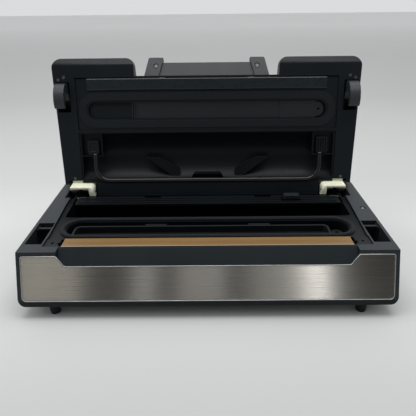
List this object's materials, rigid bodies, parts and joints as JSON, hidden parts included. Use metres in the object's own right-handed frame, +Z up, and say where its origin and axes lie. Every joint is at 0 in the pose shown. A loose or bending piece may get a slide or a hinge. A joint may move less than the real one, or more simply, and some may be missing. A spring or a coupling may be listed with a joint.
{
  "type": "vacuum sealer",
  "caption": "Countertop vacuum sealer with an open hinged lid, brushed steel front, sealing strip, ring gaskets, roll trough and a raised lock handle.",
  "frame": {"origin": "middle of the whole object's footprint with the lid open, at the bottom of the feet", "axes": "+X to the right along the lid's hinge, +Y from the steel front to the lid's hinge, +Z up; the front faces -Y"},
  "size_m": [0.397, 0.249, 0.2315],
  "materials": {
    "black_case": "satin black moulded ABS with a fine grain",
    "board_green": "green circuit board",
    "brass_pin": "bright pin",
    "copper": "wound coil and core",
    "cover_satin": "satin blue-black plastic",
    "gloss_black": "glossy black plastic",
    "grey_case": "dark grey moulded ABS with a fine grain",
    "heater_block": "heat-resistant moulding",
    "hose_clear": "translucent silicone tube",
    "key_grey": "soft-touch light grey",
    "lid_black": "smooth satin black ABS",
    "motor_metal": "drawn metal can",
    "nylon_cream": "cream nylon",
    "ptfe_tan": "tan non-stick glass cloth",
    "rubber_black": "matt black silicone foam",
    "screw_dark": "dark plated screw",
    "silicone": "smooth dark silicone with a slight gloss",
    "spring_steel": "grey spring wire",
    "steel_brushed": "brushed along the length, bright rolled edge",
    "steel_plain": "plain bright steel",
    "window_dark": "smoked window"
  },
  "bodies": {
    "base": {"base_pan": "black_case", "base_housing": "grey_case", "steel_panel": "steel_brushed", "cover_strip": "cover_satin", "heater_bar": "heater_block", "heating_element": "steel_plain", "ptfe_strip": "ptfe_tan", "strip_end_blocks": "grey_case", "base_gasket": "rubber_black", "suction_port": "black_case", "rubber_feet": "rubber_black", "case_screws": "screw_dark", "hinge_brackets": "black_case", "hinge_pins": "steel_plain", "torsion_springs": "spring_steel", "latch_catches": "black_case", "pump_motors": "motor_metal", "pump_heads": "black_case", "vacuum_hose": "hose_clear", "power_board": "board_green", "transformer": "copper", "lid_switch": "black_case", "power_socket": "black_case", "socket_pins": "brass_pin"},
    "lid": {"lid_shell": "lid_black", "lid_frame": "lid_black", "chamber_panel": "lid_black", "chamber_insert": "grey_case", "lid_gasket": "rubber_black", "press_bar": "silicone", "roll_recess": "lid_black", "roll_bail": "gloss_black", "bail_blocks": "lid_black", "hinge_arms": "nylon_cream", "arm_screws": "screw_dark", "lid_screws": "screw_dark", "shaft_bearings": "black_case", "control_panel": "gloss_black", "display_window": "window_dark", "button_board": "board_green"},
    "lock": {"latch_shaft": "steel_plain", "lock_handle": "grey_case", "handle_screws": "steel_plain", "hook_left": "grey_case", "hook_right": "grey_case", "hook_screws": "screw_dark"},
    "drip_tray": {"drip_tray": "black_case"},
    "sensor_pin": {"sensor_pin": "steel_plain"},
    "cutter_rail": {"cutter_rail": "lid_black", "rail_pins": "steel_plain"},
    "cutter_slider": {"cutter_slider": "grey_case", "cutter_blade": "steel_plain"},
    "button_vacuum": {"button_vacuum": "key_grey"},
    "button_seal": {"button_seal": "key_grey"},
    "button_pulse": {"button_pulse": "key_grey"},
    "button_mode": {"button_mode": "key_grey"},
    "button_cancel": {"button_cancel": "key_grey"}
  },
  "joints": [
    {"name": "lid_hinge", "type": "hinge", "parent": "base", "child": "lid", "pos_m": [0, 0.0535, 0.067], "axis": [1, 0, 0], "range_deg": [0, 102.5]},
    {"name": "lock_turn", "type": "hinge", "parent": "lid", "child": "lock", "pos_m": [0, 0.0926, 0.18329], "axis": [1, 0, 0], "range_deg": [0, 22]},
    {"name": "tray_lift", "type": "slide", "parent": "base", "child": "drip_tray", "axis": [0, 0, 1], "range_m": [0, 0.06]},
    {"name": "sensor_press", "type": "slide", "parent": "base", "child": "sensor_pin", "axis": [0, 0, -1], "range_m": [0, 0.0018], "stiffness_N_per_m": 250},
    {"name": "cutter_flip", "type": "hinge", "parent": "base", "child": "cutter_rail", "pos_m": [0, 0.0357, 0.0624], "axis": [1, 0, 0], "range_deg": [-60, 0]},
    {"name": "cutter_slide", "type": "slide", "parent": "cutter_rail", "child": "cutter_slider", "axis": [1, 0, 0], "range_m": [-0.234, 0.02]},
    {"name": "button_vacuum_press", "type": "slide", "parent": "lid", "child": "button_vacuum", "axis": [0, -0.9763, 0.2164], "range_m": [0, 0.001], "stiffness_N_per_m": 400},
    {"name": "button_seal_press", "type": "slide", "parent": "lid", "child": "button_seal", "axis": [0, -0.9763, 0.2164], "range_m": [0, 0.001], "stiffness_N_per_m": 400},
    {"name": "button_pulse_press", "type": "slide", "parent": "lid", "child": "button_pulse", "axis": [0, -0.9763, 0.2164], "range_m": [0, 0.001], "stiffness_N_per_m": 400},
    {"name": "button_mode_press", "type": "slide", "parent": "lid", "child": "button_mode", "axis": [0, -0.9763, 0.2164], "range_m": [0, 0.001], "stiffness_N_per_m": 400},
    {"name": "button_cancel_press", "type": "slide", "parent": "lid", "child": "button_cancel", "axis": [0, -0.9763, 0.2164], "range_m": [0, 0.001], "stiffness_N_per_m": 400}
  ]
}
